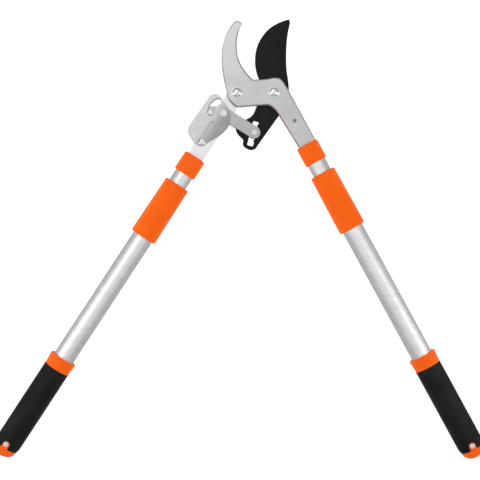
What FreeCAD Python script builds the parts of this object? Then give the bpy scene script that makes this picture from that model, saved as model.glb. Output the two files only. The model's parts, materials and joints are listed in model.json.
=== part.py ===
import FreeCAD, Part
import math
import os
import Sketcher

# Telescopic ratchet bypass loppers, lying flat with the jaws open.
# Millimetres. +Z up, the handles spread along X, the jaws point to +Y.
# A size that starts with "=" follows from the others.
# Layers are measured from the plane where the hook meets the blade, which holds the tubes' axes.

doc = FreeCAD.newDocument("Loppers")

SIZES = [
    # pivots and handle directions
    ("pivot_spacing", 47.5, "blade pivot from handle pivot, along X"),
    ("pivot_rise", 0.5, "blade pivot from handle pivot, along Y"),
    ("left_lean", 33.2, "left handle from the vertical, degrees"),
    ("right_lean", 28.6, "right handle from the vertical, degrees"),
    ("right_axis_offset", 5.2, "right handle's axis from the blade pivot"),
    ("left_collar_run", 111.8, "ferrule's middle from the handle pivot"),
    ("right_collar_run", 92.0, "ferrule's middle from the blade pivot"),
    # plates
    ("hook_thick", 6.0, "hook plate"),
    ("blade_thick", 4.0, "blade"),
    ("edge_bevel", 7.0, "width of the cutting edge's bevel"),
    ("edge_land", 0.6, "thickness left at the cutting edge"),
    ("arm_thick", 5.0, "left arm bar"),
    ("layer_gap", 0.1, "running gap between turning plates"),
    ("hook_bevel", 1.6, "chamfer round the hook"),
    ("arm_width", 20.6, "left arm bar"),
    ("arm_head_radius", 12.5, "left arm round its pivot"),
    ("shank_width", 24.0, "right shank"),
    ("shank_offset", 0.6, "right shank's middle from its axis"),
    ("tang_width", "=inner_radius * 1.36", "tongue inside the inner tube"),
    ("tang_length", 36.0, "tongue inside the inner tube"),
    ("shoulder_play", 1.0, "shank's shoulder to the inner tube's end"),
    # pivots
    ("bolt_radius", 5.0, "pivot bolt shank"),
    ("bolt_flange_radius", "=bolt_radius + 2.7", "flange under the domed head"),
    ("bolt_flange", 1.0, "flange under the domed head"),
    ("flange_round", 0.5, "flange's rounded edge"),
    ("bolt_dome_radius", "=bolt_radius + 1.0", "domed head"),
    ("bolt_head_height", 3.4, "domed head with its flange"),
    ("pivot_fit", 0.06, "radial clearance of a turning pivot"),
    ("seat_gap", 0.05, "radial clearance of a fixed seat"),
    ("washer_radius", 9.5, "pivot washer"),
    ("washer_thick", 1.5, "pivot washer"),
    ("nut_flats", 16.0, "pivot nut across flats"),
    ("nut_height", 6.0, "pivot nut"),
    ("bolt_overrun", 1.0, "bolt past its nut"),
    ("stop_radius", 2.6, "stop pin"),
    ("stop_proud", 0.3, "stop pin above the hook plate"),
    ("stop_x", 26.5, "stop pin from the blade pivot"),
    ("stop_y", -36.7, "stop pin from the blade pivot"),
    # ratchet link
    ("link_run", 31.6, "link pivot down the left arm"),
    ("link_length", 46.5, "link pivot to ratchet pin"),
    ("link_turn", 91.1, "link from the arm's direction, degrees"),
    ("tail_length", 16.7, "link pivot to tail screw"),
    ("tail_turn", -151.3, "link's tail from the link's direction, degrees"),
    ("link_end_radius", 7.9, "link's round ends"),
    ("link_thick", 3.0, "each link plate"),
    ("link_gap", 0.4, "link plate to arm bar"),
    ("rivet_radius", 3.5, "link rivet shank"),
    ("rivet_head_radius", 4.4, "link rivet head"),
    ("rivet_head", 1.0, "link rivet head height"),
    ("pin_radius", 2.2, "ratchet pin"),
    ("pin_head_radius", 3.6, "ratchet pin head"),
    ("pin_head", 1.0, "ratchet pin head height"),
    ("post_radius", 2.4, "spring post between the links"),
    ("tail_screw_radius", 1.5, "tail screw shank"),
    ("tail_head_radius", 3.7, "tail screw head"),
    ("tail_head", 2.2, "tail screw head height"),
    ("tail_peen", 1.2, "tail screw's riveted end, out and down"),
    # ratchet slot in the blade's tail, measured from the pin at rest
    ("slot_lean", 14.4, "slot from the vertical, degrees"),
    ("slot_left", "=pin_radius + 2.8", "pin to the slot's smooth side"),
    ("slot_up", 14.6, "pin to the slot's top"),
    ("slot_down", 17.8, "pin to the slot's bottom"),
    ("slot_corner", 1.6, "slot's rounded corners"),
    ("pocket_depth", "=pin_radius + 0.5", "pin to the pockets' floor"),
    ("tooth_tip", 1.0, "pin to the teeth's tips"),
    ("tooth_pitch", 6.8, "tooth to tooth"),
    ("tooth_slope", 2.8, "long flank of a tooth, along the slot"),
    ("tooth_hook", 0.9, "short flank of a tooth, along the slot"),
    ("first_tooth", "=pin_radius + 0.3 + tooth_pitch", "pin to the top tooth"),
    # housing on the left arm
    ("shell_thick", 1.5, "pressed shells"),
    ("shell_gap", 0.5, "link plate to shell"),
    ("rim_split", 0.1, "half the gap between the shells' rims"),
    ("window_half", 4.5, "half the window's width"),
    ("window_sweep", 60.0, "window's length, degrees"),
    ("screw_run", 77.9, "housing screw down the arm"),
    ("screw_side", -2.7, "housing screw across the arm"),
    ("screw_radius", 2.5, "housing screw shank"),
    ("screw_head_radius", 4.5, "housing screw head"),
    ("screw_head", 2.4, "housing screw head height"),
    ("screw_nut_flats", 8.0, "housing nut across flats"),
    ("screw_nut", 3.2, "housing nut height"),
    ("screw_overrun", 0.8, "housing screw past its nut"),
    ("anchor_run", 77.3, "spring anchor down the arm"),
    ("anchor_side", -16.6, "spring anchor across the arm"),
    ("anchor_radius", 2.0, "anchor rivet"),
    ("anchor_head_radius", 2.8, "anchor rivet head"),
    ("anchor_head", 0.8, "anchor rivet head height"),
    ("spring_radius", 2.1, "spring coil, to the wire's middle"),
    ("wire_radius", 0.4, "spring wire"),
    # telescopic handles, lengths from the ferrule's middle
    ("ferrule_wall", 0.75, "ferrule outside the shank's corners"),
    ("ferrule_radius",
     "=max(inner_radius + 2; "
     "hypot(shank_width / 2 + shank_offset; hook_thick + layer_gap) + ferrule_wall)",
     "ferrule"),
    ("ferrule_length", 26.4, "ferrule"),
    ("ferrule_round", 2.0, "ferrule's rounded edges"),
    ("tube_seat", 6.0, "inner tube's top above the ferrule's middle"),
    ("inner_radius", 12.5, "inner tube"),
    ("tube_wall", 1.2, "both tubes"),
    ("tang_rivet_radius", 2.5, "rivet through tube and tongue"),
    ("tang_rivet_run", 4.0, "rivet past the ferrule's middle"),
    ("tang_rivet_round", 0.6, "rivet's rounded ends"),
    ("tube_play", 0.3, "radial play between the tubes"),
    ("outer_radius", "=inner_radius + tube_play + tube_wall", "outer tube"),
    ("outer_top", 34.0, "outer tube's top"),
    ("outer_length", 387.5, "outer tube"),
    ("slide_fit", 0.1, "radial clearance of sliding parts"),
    ("bush_flange", 8.0, "guide bush outside the inner tube"),
    ("bush_spigot", 14.0, "guide bush inside the inner tube"),
    ("bush_wall", 3.0, "guide bush"),
    ("plug_length", 16.0, "end cap inside the outer tube"),
    ("bush_room", 4.0, "pushed-in guide bush to the end cap"),
    ("inner_length",
     "=tube_seat + outer_top + outer_length - plug_length - bush_room - bush_flange",
     "inner tube"),
    ("sleeve_top", 29.0, "lock sleeve's top"),
    ("sleeve_length", 81.0, "lock sleeve"),
    ("sleeve_fit", 0.15, "radial clearance of the turning sleeve"),
    ("sleeve_wall", 1.05, "lock sleeve at its top"),
    ("sleeve_flare", 0.9, "lock sleeve's widening"),
    ("collet_wall", 1.6, "lock collet round the outer tube"),
    ("collet_radius", "=outer_radius + collet_wall", "lock collet"),
    ("collet_length", 27.0, "lock collet"),
    ("collet_lip", 3.0, "collet above the outer tube"),
    ("collet_room", 2.0, "collet to the step inside the sleeve"),
    ("sleeve_top_radius", "=collet_radius + sleeve_fit + sleeve_wall", "lock sleeve"),
    ("sleeve_end_radius", "=sleeve_top_radius + sleeve_flare", "lock sleeve"),
    ("sleeve_lip", 1.5, "lip at the sleeve's top"),
    ("sleeve_round", 2.0, "lock sleeve's rounded edges"),
    ("ring_length", 16.4, "grip ring"),
    ("grip_length", 120.0, "grip"),
    ("grip_past_tube", 11.5, "grip's end past the outer tube"),
    ("ring_top",
     "=outer_top + outer_length + grip_past_tube - grip_length - ring_length",
     "grip ring's top"),
    ("grip_wall", 3.2, "grip round the outer tube"),
    ("grip_radius", "=outer_radius + grip_wall", "grip"),
    ("ring_radius", "=grip_radius + 1.0", "grip ring's wide end"),
    ("ring_end_radius", "=grip_radius - 0.3", "grip ring's narrow end"),
    ("ring_round", 2.0, "grip ring's rounded edge"),
    ("grip_taper", 8.0, "rounded stretch at the grip's end"),
    ("grip_draw", 1.4, "how far the grip's end draws in"),
    ("grip_end_radius", "=grip_radius - grip_draw", "grip's open end"),
    ("grip_lip", 1.2, "grip's wall at its open end"),
    ("cap_dome", 12.8, "end cap past the grip"),
    ("cap_knuckle", 12.4, "end cap's rounded edge"),
    ("cap_flat", 1.2, "flat at the top of the end cap"),
    ("tongue_radius", 4.5, "end cap's tongue round its screw"),
    ("tongue_height", "=grip_end_radius - 0.2", "tongue's top above the tube's axis"),
    ("tongue_gap", 0.2, "tongue to the grip's notch"),
    ("tongue_root", 1.0, "tongue sunk into the cap"),
    ("cap_screw_back", 5.6, "cap screw before the grip's end"),
    ("cap_screw_radius", 1.5, "cap screw shank"),
    ("cap_screw_head_radius", 3.4, "cap screw head"),
    ("cap_screw_head", 1.5, "cap screw head height"),
    ("cap_screw_length", 10.0, "cap screw shank length"),
    ("head_round", 0.8, "small screw heads' rounded edges"),
    ("recess_wide", 0.9, "cross recess"),
    ("recess_deep", 1.0, "cross recess"),
    ("overcut", 1.0, "how far a cut runs past what it cuts"),
]

sheet = doc.addObject("Spreadsheet::Sheet", "Sizes")
for row, (alias, value, note) in enumerate(SIZES, start=1):
    sheet.set("A%d" % row, alias)
    sheet.set("C%d" % row, note)
    sheet.setAlias("B%d" % row, alias)
for row, (alias, value, note) in enumerate(SIZES, start=1):
    sheet.set("B%d" % row, str(value))
doc.recompute()


class Dim:
    """A length that carries its value and the expression that binds it to the sheet."""

    def __init__(self, value, text):
        self.value = float(value)
        self.text = text

    def __float__(self):
        return self.value

    def __add__(self, other):
        other = as_dim(other)
        return Dim(self.value + other.value, "(%s + %s)" % (self.text, other.text))

    def __sub__(self, other):
        other = as_dim(other)
        return Dim(self.value - other.value, "(%s - %s)" % (self.text, other.text))

    def __rsub__(self, other):
        return as_dim(other) - self

    def __mul__(self, factor):
        return Dim(self.value * factor, "(%s * %s)" % (self.text, factor))

    def __truediv__(self, factor):
        return Dim(self.value / factor, "(%s / %s)" % (self.text, factor))

    def __neg__(self):
        return Dim(-self.value, "(0 - %s)" % self.text)

    __radd__ = __add__
    __rmul__ = __mul__


def as_dim(number):
    """Wraps a plain number, so that numbers and sheet cells add up."""
    return number if isinstance(number, Dim) else Dim(number, "%.6f" % number)


class Cells:
    """Gives each alias of the sheet as a Dim."""

    def __getattr__(self, alias):
        return Dim(sheet.get(alias), "Sizes." + alias)


S = Cells()
ZERO = as_dim(0)
V = FreeCAD.Vector


# ---------------------------------------------------------------- helpers

def new_body(name):
    body = doc.addObject("PartDesign::Body", name)
    body.Label = name
    return body


def new_sketch(body, role="XY_Plane", height=ZERO):
    """Starts a sketch on one of the body's own planes, raised by height."""
    sketch = body.newObject("Sketcher::SketchObject", body.Name + "_sketch")
    support = [f for f in body.Origin.OriginFeatures if f.Role == role][0]
    sketch.AttachmentSupport = [(support, "")]
    sketch.MapMode = "FlatFace"
    sketch.setExpression("AttachmentOffset.Base.z", as_dim(height).text)
    return sketch


def pin_point(sketch, geometry, end, x, y):
    """Binds one point of a sketch to two lengths from the sketch's origin."""
    for kind, length in (("DistanceX", as_dim(x)), ("DistanceY", as_dim(y))):
        if abs(length.value) < 1e-9:
            other_axis = -2 if kind == "DistanceX" else -1
            sketch.addConstraint(Sketcher.Constraint("PointOnObject", geometry, end, other_axis))
            continue
        where = sketch.addConstraint(
            Sketcher.Constraint(kind, -1, 1, geometry, end, length.value)
        )
        sketch.setExpression("Constraints[%d]" % where, length.text)


def add_circle(sketch, x, y, radius):
    circle = Part.Circle(V(float(x), float(y), 0), V(0, 0, 1), float(radius))
    index = sketch.addGeometry(circle, False)
    pin_point(sketch, index, 3, x, y)
    where = sketch.addConstraint(Sketcher.Constraint("Radius", index, float(radius)))
    sketch.setExpression("Constraints[%d]" % where, as_dim(radius).text)


def curve_through(points):
    curve = Part.BSplineCurve()
    curve.interpolate(points)
    return curve


def side_between(corner, a, b):
    """The straight side, arc or curve that leaves a corner at a for the next one at b."""
    if len(corner) == 2:
        return Part.LineSegment(a, b)
    if isinstance(corner[2], list):
        return curve_through([a] + [V(*p, 0) for p in corner[2]] + [b])
    side = (b - a).normalize()
    peak = (a + b) * 0.5 + V(-side.y, side.x, 0) * float(corner[2])
    return Part.Arc(a, peak, b)


def add_polygon(sketch, corners):
    """Closed outline whose corners are bound to the sheet.

    A corner is (x, y), or (x, y, bulge) where the side that leaves it swells by that much, or
    (x, y, points) where that side curves through the points.
    """
    points = [V(float(c[0]), float(c[1]), 0) for c in corners]
    first = sketch.GeometryCount
    ends = []
    for corner, a, b in zip(corners, points, points[1:] + points[:1]):
        index = sketch.addGeometry(side_between(corner, a, b), False)
        drawn_forward = sketch.getPoint(index, 1).distanceToPoint(a) < 1e-6
        ends.append((1, 2) if drawn_forward else (2, 1))
    count = len(points)
    for i in range(count):
        after = (i + 1) % count
        sketch.addConstraint(Sketcher.Constraint(
            "Coincident", first + i, ends[i][1], first + after, ends[after][0]
        ))
    for i, corner in enumerate(corners):
        pin_point(sketch, first + i, ends[i][0], corner[0], corner[1])


def add_outline(sketch, start, moves):
    """Closed freehand outline. A move is a point, an (arc, via, end) or a (curve, points...)."""
    here = V(*start, 0)
    home = here
    for move in moves:
        if move[0] == "arc":
            end = V(*move[2], 0)
            sketch.addGeometry(Part.Arc(here, V(*move[1], 0), end), False)
        elif move[0] == "curve":
            points = [here] + [V(*p, 0) for p in move[1:]]
            end = points[-1]
            sketch.addGeometry(curve_through(points), False)
        else:
            end = V(*move, 0)
            sketch.addGeometry(Part.LineSegment(here, end), False)
        here = end
    if here.distanceToPoint(home) > 1e-6:
        sketch.addGeometry(Part.LineSegment(here, home), False)


def pad(body, sketch, length):
    feature = body.newObject("PartDesign::Pad", body.Name + "_pad")
    feature.Profile = sketch
    feature.Length = float(length)
    feature.setExpression("Length", as_dim(length).text)
    return feature


def cut_up(body, sketch, depth):
    """Cuts from the sketch's plane towards its normal."""
    feature = body.newObject("PartDesign::Pocket", body.Name + "_pocket")
    feature.Profile = sketch
    feature.Length = float(depth)
    feature.setExpression("Length", as_dim(depth).text)
    feature.Reversed = True
    return feature


def turn(body, sketch, axis):
    feature = body.newObject("PartDesign::Revolution", body.Name + "_turn")
    feature.Profile = sketch
    feature.ReferenceAxis = (sketch, [axis])
    feature.Angle = 360
    return feature


def turned_along_handle(name, corners):
    """A piece turned about the handle's axis, from corners (run, radius)."""
    body = new_body(name)
    sketch = new_sketch(body)
    add_polygon(sketch, corners)
    turn(body, sketch, "H_Axis")
    return body


def turned_upright(name, corners):
    """A piece turned about its own Z axis, from corners (radius, height)."""
    body = new_body(name)
    sketch = new_sketch(body, "XZ_Plane")
    add_polygon(sketch, corners)
    turn(body, sketch, "V_Axis")
    return body


def round_edges(body, radius, wanted):
    """Fillets the edges of the body's tip that wanted() picks."""
    doc.recompute()
    base = body.Tip
    names = ["Edge%d" % (i + 1) for i, e in enumerate(base.Shape.Edges) if wanted(e)]
    feature = body.newObject("PartDesign::Fillet", body.Name + "_round")
    feature.Base = (base, names)
    feature.Radius = float(radius)
    feature.setExpression("Radius", as_dim(radius).text)


def bevel_edges(body, size, depth, wanted):
    """Chamfers the picked edges by two sizes, one on each face that meets there."""
    doc.recompute()
    base = body.Tip
    names = ["Edge%d" % (i + 1) for i, e in enumerate(base.Shape.Edges) if wanted(e)]
    feature = body.newObject("PartDesign::Chamfer", body.Name + "_bevel")
    feature.Base = (base, names)
    feature.ChamferType = "Two distances"
    feature.Size = float(size)
    feature.Size2 = float(depth)
    feature.setExpression("Size", as_dim(size).text)
    feature.setExpression("Size2", as_dim(depth).text)
    return feature


def at_height(edge, height):
    box = edge.BoundBox
    return abs(box.ZMin - height) < 1e-4 and abs(box.ZMax - height) < 1e-4


def is_circle(edge, radius):
    curve = edge.Curve
    return hasattr(curve, "Radius") and abs(curve.Radius - float(radius)) < 1e-4


def bulge(chord, radius):
    return radius - math.sqrt(radius ** 2 - (chord / 2) ** 2)


def tangent_bulge(run, rise):
    """Bulge of an arc that starts level, covers run and has turned away by rise at its end."""
    chord = math.hypot(float(run), float(rise))
    return bulge(chord, chord ** 2 / (2 * float(rise)))


def arc_points(centre, radius, start, end, steps):
    """Points of an arc about a centre on the sketch, from one angle to another."""
    angles = [start + (end - start) * i / steps for i in range(1, steps + 1)]
    return [(centre[0] + radius * math.cos(a), centre[1] + radius * math.sin(a)) for a in angles]


def crowned_end(start, radius, height, knuckle, flat):
    """Corners of a domed end: a knuckle that starts level, a crown and a small flat at its top.

    Knuckle and crown are one curve through points of two arcs that meet without a corner.
    """
    rise = float(height)
    corner = float(knuckle)
    edge = float(radius) - corner
    crown = (edge ** 2 + rise ** 2 - corner ** 2) / (2 * (rise - corner))
    meet = math.asin(edge / (crown - corner))
    last = math.asin(float(flat) / crown)
    top = float(start) + crown * (1 - math.cos(last)) + rise - crown
    shoulder = arc_points((float(start), edge), corner, math.pi / 2, meet, 8)
    dome = arc_points((top, 0.0), crown, meet, last, 4)
    return [
        (start, radius, shoulder + dome[:-1]),
        (start + height, flat),
        (start + height, ZERO),
    ]


def hexagon(flats):
    """Corners of a hexagon of the given width across flats."""
    reach = flats / math.sqrt(3)
    return [
        (reach * math.cos(math.radians(60 * i)), reach * math.sin(math.radians(60 * i)))
        for i in range(6)
    ]


def cross_recess(body, top, reach):
    """Cuts a cross into a screw's head, down from its top."""
    half = S.recess_wide / 2
    for wide, tall in ((as_dim(reach), half), (half, as_dim(reach))):
        sketch = new_sketch(body, "XY_Plane", top - S.recess_deep)
        add_polygon(sketch, [(-wide, -tall), (wide, -tall), (wide, tall), (-wide, tall)])
        cut_up(body, sketch, S.recess_deep + S.overcut)


def nut(name, flats, height, bore):
    body = new_body(name)
    sketch = new_sketch(body)
    add_polygon(sketch, hexagon(flats))
    add_circle(sketch, ZERO, ZERO, bore)
    pad(body, sketch, height)
    return body


def washer(name, radius, bore, thick):
    body = new_body(name)
    sketch = new_sketch(body)
    add_circle(sketch, ZERO, ZERO, radius)
    add_circle(sketch, ZERO, ZERO, bore)
    pad(body, sketch, thick)
    return body


# ---------------------------------------------------------------- frames

def spin(degrees):
    return FreeCAD.Rotation(V(0, 0, 1), degrees)


def move(x=0, y=0, z=0):
    return FreeCAD.Placement(V(float(x), float(y), float(z)), FreeCAD.Rotation())


def turn_by(degrees):
    return FreeCAD.Placement(V(0, 0, 0), spin(float(degrees)))


# Each handle's frame has X down the handle and Y to its right when seen from the jaws' side.
blade_pivot = move(S.pivot_spacing, S.pivot_rise)
left_frame = turn_by(-90 - S.left_lean)
right_direction = turn_by(-90 + S.right_lean)
right_frame = blade_pivot * right_direction * move(0, S.right_axis_offset)
link_frame = left_frame * move(S.link_run) * turn_by(S.link_turn)
pin_rest = link_frame.multVec(V(float(S.link_length), 0, 0))

placed = []


def place(body, frame):
    body.Placement = frame
    placed.append(body)
    return body


# ---------------------------------------------------------------- hook plate and its arm

hook_back = S.layer_gap
hook_front = hook_back + S.hook_thick
blade_back = -S.blade_thick
arm_back = -S.arm_thick


def in_right_frame(run, side):
    spot = right_frame.multVec(V(float(run), float(side), 0))
    return (spot.x, spot.y)


def hook_plate():
    """Hook, pivot plate and right shank, forged in one piece."""
    half_shank = S.shank_width / 2
    half_tang = S.tang_width / 2
    seat = S.right_collar_run - S.tube_seat - S.shoulder_play
    tang_end = seat + S.tang_length
    ferrule_top = S.right_collar_run - S.ferrule_length / 2
    right_edge = S.shank_offset + half_shank
    left_edge = S.shank_offset - half_shank
    body = new_body("hook_plate")
    sketch = new_sketch(body, height=hook_back)
    add_outline(sketch, (-4.4, 90.4), [
        ("arc", (0.8, 92.3), (6.3, 88.0)),
        ("curve", (0.9, 74.0), (-0.4, 58.0), (2.6, 41.0), (9.6, 28.6), (19.4, 17.4)),
        ("arc", (21.2, 16.7), (23.4, 16.6)),
        (40.5, 18.1),
        ("curve", (48.6, 19.6), (54.8, 18.2), (60.0, 12.9), (66.6, 2.9)),
        in_right_frame(8.0, right_edge),
        in_right_frame(seat, right_edge),
        in_right_frame(seat, half_tang),
        in_right_frame(tang_end, half_tang),
        in_right_frame(tang_end, -half_tang),
        in_right_frame(seat, -half_tang),
        in_right_frame(seat, left_edge),
        in_right_frame(ferrule_top - S.overcut, left_edge),
        (54.4, -30.4),
        ("curve", (50.9, -24.8), (46.8, -20.2), (42.2, -17.1), (36.9, -16.0)),
        (2.6, -18.9),
        ("curve", (-2.6, -17.2), (-7.0, -13.6), (-11.0, -8.4), (-13.4, 1.5)),
        ("curve", (-17.6, 19.0), (-20.1, 42.0), (-18.3, 61.0), (-12.6, 78.0), (-4.4, 90.4)),
    ])
    add_circle(sketch, ZERO, ZERO, S.bolt_radius + S.seat_gap)
    add_circle(sketch, S.pivot_spacing, S.pivot_rise, S.bolt_radius + S.seat_gap)
    add_circle(sketch, S.pivot_spacing + S.stop_x, S.pivot_rise + S.stop_y, S.stop_radius)
    rivet = in_right_frame(S.right_collar_run + S.tang_rivet_run, ZERO)
    add_circle(sketch, *rivet, S.tang_rivet_radius + S.seat_gap)
    pad(body, sketch, S.hook_thick)

    def on_rim(edge):
        run = right_frame.inverse().multVec(edge.BoundBox.Center).x
        before_ferrule = run < float(ferrule_top - S.overcut)
        return at_height(edge, hook_front.value) and before_ferrule and not edge.isClosed()

    bevel_edges(body, S.hook_bevel, S.hook_bevel, on_rim)
    return place(body, move())


def pivot_bolt(name, layer_back):
    """Domed bolt from the hook's front face through to its nut."""
    end = layer_back - S.layer_gap - S.washer_thick - S.nut_height - S.bolt_overrun
    flange_top = hook_front + S.bolt_flange
    dome = S.bolt_head_height - S.bolt_flange
    body = turned_upright(name, [
        (ZERO, end),
        (S.bolt_radius, end),
        (S.bolt_radius, hook_front),
        (S.bolt_flange_radius, hook_front),
        (S.bolt_flange_radius, flange_top),
        (S.bolt_dome_radius, flange_top, -tangent_bulge(S.bolt_dome_radius, dome)),
        (ZERO, flange_top + dome),
    ])

    def flange_rim(edge):
        return at_height(edge, flange_top.value) and is_circle(edge, S.bolt_flange_radius)

    round_edges(body, S.flange_round, flange_rim)
    return body


def pivot_set(names, frame, layer_back):
    """A bolt with the washer and nut behind the layer it carries."""
    bolt_name, washer_name, nut_name = names
    washer_bottom = layer_back - S.layer_gap - S.washer_thick
    place(pivot_bolt(bolt_name, layer_back), frame)
    ring = washer(washer_name, S.washer_radius, S.bolt_radius + S.seat_gap, S.washer_thick)
    place(ring, frame * move(z=washer_bottom))
    hex_nut = nut(nut_name, S.nut_flats, S.nut_height, S.bolt_radius + S.seat_gap)
    place(hex_nut, frame * move(z=washer_bottom - S.nut_height))


def stop_pin():
    """Pin through the right shank that the blade's tail meets when the jaws are shut."""
    top = hook_front + S.stop_proud
    body = turned_upright("stop_pin", [
        (ZERO, blade_back),
        (S.stop_radius, blade_back),
        (S.stop_radius, top),
        (ZERO, top),
    ])
    return place(body, blade_pivot * move(S.stop_x, S.stop_y))


# ---------------------------------------------------------------- blade

def ratchet_slot():
    """Outline of the toothed slot, in the frame of the resting pin: across, then along."""
    left = -float(S.slot_left)
    floor = float(S.pocket_depth)
    tip = float(S.tooth_tip)
    top = float(S.slot_up)
    bottom = -float(S.slot_down)
    corner = float(S.slot_corner)
    cut_off = corner * (1 - math.sqrt(0.5))
    moves = [
        ("arc", (left + cut_off, top - cut_off), (left + corner, top)),
        (floor - corner, top),
        ("arc", (floor - cut_off, top - cut_off), (floor, top - corner)),
    ]
    for i in range(4):
        tooth = float(S.first_tooth) - i * float(S.tooth_pitch)
        moves.append((floor, tooth + float(S.tooth_slope)))
        moves.append((tip, tooth))
        moves.append((floor, tooth - float(S.tooth_hook)))
    moves += [
        (floor, bottom + corner),
        ("arc", (floor - cut_off, bottom + cut_off), (floor - corner, bottom)),
        (left + corner, bottom),
        ("arc", (left + cut_off, bottom + cut_off), (left, bottom + corner)),
    ]
    return (left, top - corner), moves


def moved_outline(frame, start, moves):
    """The same outline seen from another frame."""
    def shift(point):
        spot = frame.multVec(V(point[0], point[1], 0))
        return (spot.x, spot.y)

    shifted = []
    for step in moves:
        if isinstance(step[0], str):
            shifted.append((step[0],) + tuple(shift(p) for p in step[1:]))
        else:
            shifted.append(shift(step))
    return shift(start), shifted


CUTTING_EDGE = [
    (19.4, 94.6), (4.5, 89.2), (-7.0, 81.6), (-16.0, 70.9), (-22.0, 58.5), (-24.4, 44.0),
    (-23.4, 29.5), (-18.9, 16.3),
]


def inset(points, distance, overrun):
    """Moves a curve's points sideways, to the left of their order, and lengthens both ends."""
    path = [V(*p, 0) for p in points]
    path[0] = path[0] + (path[0] - path[1]).normalize() * overrun
    path[-1] = path[-1] + (path[-1] - path[-2]).normalize() * overrun
    moved = []
    for i, point in enumerate(path):
        ahead = path[min(i + 1, len(path) - 1)]
        behind = path[max(i - 1, 0)]
        heading = (ahead - behind).normalize()
        moved.append((point.x - heading.y * distance, point.y + heading.x * distance))
    return moved


def grind_edge(body):
    """Bevels the rear of the cutting edge with a sloping cut along its curve."""
    slope = float(S.edge_bevel) / float(S.blade_thick - S.edge_land)
    overrun = float(S.overcut) * 3
    clear_of_blade = -float(S.edge_bevel) * 2
    levels = []
    for height in (ZERO, blade_back - S.overcut):
        depth = -(height.value + float(S.edge_land)) * slope
        sketch = new_sketch(body, height=height)
        near = inset(CUTTING_EDGE, depth, overrun)
        far = inset(CUTTING_EDGE, clear_of_blade, overrun)
        add_outline(sketch, near[0], [("curve",) + tuple(near[1:]), far[-1],
                                      ("curve",) + tuple(reversed(far[:-1]))])
        levels.append(sketch)
    cut = body.newObject("PartDesign::SubtractiveLoft", "edge_bevel")
    cut.Profile = levels[0]
    cut.Sections = [levels[1]]
    cut.Ruled = True


def blade():
    """Cutting blade with the ratchet slot in its tail, drawn from its own pivot.

    The tail's lobe is drawn from the resting pin, so that it stays round the slot.
    """
    pin = blade_pivot.inverse().multVec(pin_rest)

    def by_pin(x, y):
        return (pin.x + x, pin.y + y)

    body = new_body("blade")
    sketch = new_sketch(body, height=blade_back)
    add_outline(sketch, CUTTING_EDGE[0], [
        ("curve",) + tuple(CUTTING_EDGE[1:]),
        ("curve", (-16.6, 4.0), (-18.0, -8.0), by_pin(2.7, 32.9), by_pin(-0.8, 24.5),
         by_pin(-7.1, 18.7)),
        ("curve", by_pin(-15.6, 14.7), by_pin(-22.6, 9.2), by_pin(-23.8, 4.3),
         by_pin(-20.6, -2.9), by_pin(-15.2, -8.1)),
        ("arc", by_pin(-14.2, -10.7), by_pin(-14.9, -13.5)),
        ("curve", by_pin(-13.5, -17.9), by_pin(-9.3, -21.0), by_pin(-4.0, -22.6),
         by_pin(0.4, -21.5), by_pin(3.8, -17.6)),
        (10.5, -23.9),
        ("curve", (16.6, -12.0), (19.3, 3.2), (16.6, 28.0), (15.9, 50.0), (17.4, 72.0),
         (20.3, 87.0)),
        ("arc", (20.7, 91.2), CUTTING_EDGE[0]),
    ])
    add_circle(sketch, ZERO, ZERO, S.bolt_radius + S.pivot_fit)
    slot_frame = move(pin.x, pin.y) * turn_by(-S.slot_lean)
    start, moves = moved_outline(slot_frame, *ratchet_slot())
    add_outline(sketch, start, moves)
    pad(body, sketch, S.blade_thick)
    grind_edge(body)
    return place(body, blade_pivot)


# ---------------------------------------------------------------- left arm

def left_arm():
    """Flat bar from the handle pivot to the tongue in the left tube."""
    half = float(S.arm_width) / 2
    tang = float(S.tang_width) / 2
    head = float(S.arm_head_radius)
    meet = math.sqrt(head ** 2 - half ** 2)
    seat = float(S.left_collar_run - S.tube_seat - S.shoulder_play)
    tang_end = seat + float(S.tang_length)
    body = new_body("left_arm")
    sketch = new_sketch(body, height=arm_back)
    add_outline(sketch, (meet, -half), [
        (seat, -half),
        (seat, -tang),
        (tang_end, -tang),
        (tang_end, tang),
        (seat, tang),
        (seat, half),
        (meet, half),
        ("arc", (-head, 0.0), (meet, -half)),
    ])
    add_circle(sketch, ZERO, ZERO, S.bolt_radius + S.pivot_fit)
    add_circle(sketch, S.link_run, ZERO, S.rivet_radius + S.seat_gap)
    add_circle(sketch, S.screw_run, S.screw_side, S.screw_radius + S.seat_gap)
    rivet_run = S.left_collar_run + S.tang_rivet_run
    add_circle(sketch, rivet_run, ZERO, S.tang_rivet_radius + S.seat_gap)
    pad(body, sketch, S.arm_thick)
    return place(body, left_frame)


# ---------------------------------------------------------------- ratchet link

link_front_bottom = S.link_gap
link_rear_top = arm_back - S.link_gap
shell_front = link_front_bottom + S.link_thick + S.shell_gap
shell_rear = link_rear_top - S.link_thick - S.shell_gap
middle_layer = arm_back / 2


def tail_spot():
    angle = math.radians(float(S.tail_turn))
    reach = float(S.tail_length)
    return (reach * math.cos(angle), reach * math.sin(angle))


def stadium(sketch, end, radius):
    """Round-ended strip from the sketch's origin to end."""
    length = math.hypot(*end)
    along = V(end[0] / length, end[1] / length, 0)
    side = V(-along.y, along.x, 0) * radius
    far = V(end[0], end[1], 0)
    sketch.addGeometry(Part.Arc(side, along * -radius, -side), False)
    sketch.addGeometry(Part.LineSegment(-side, far - side), False)
    sketch.addGeometry(Part.Arc(far - side, far + along * radius, far + side), False)
    sketch.addGeometry(Part.LineSegment(far + side, side), False)


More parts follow.
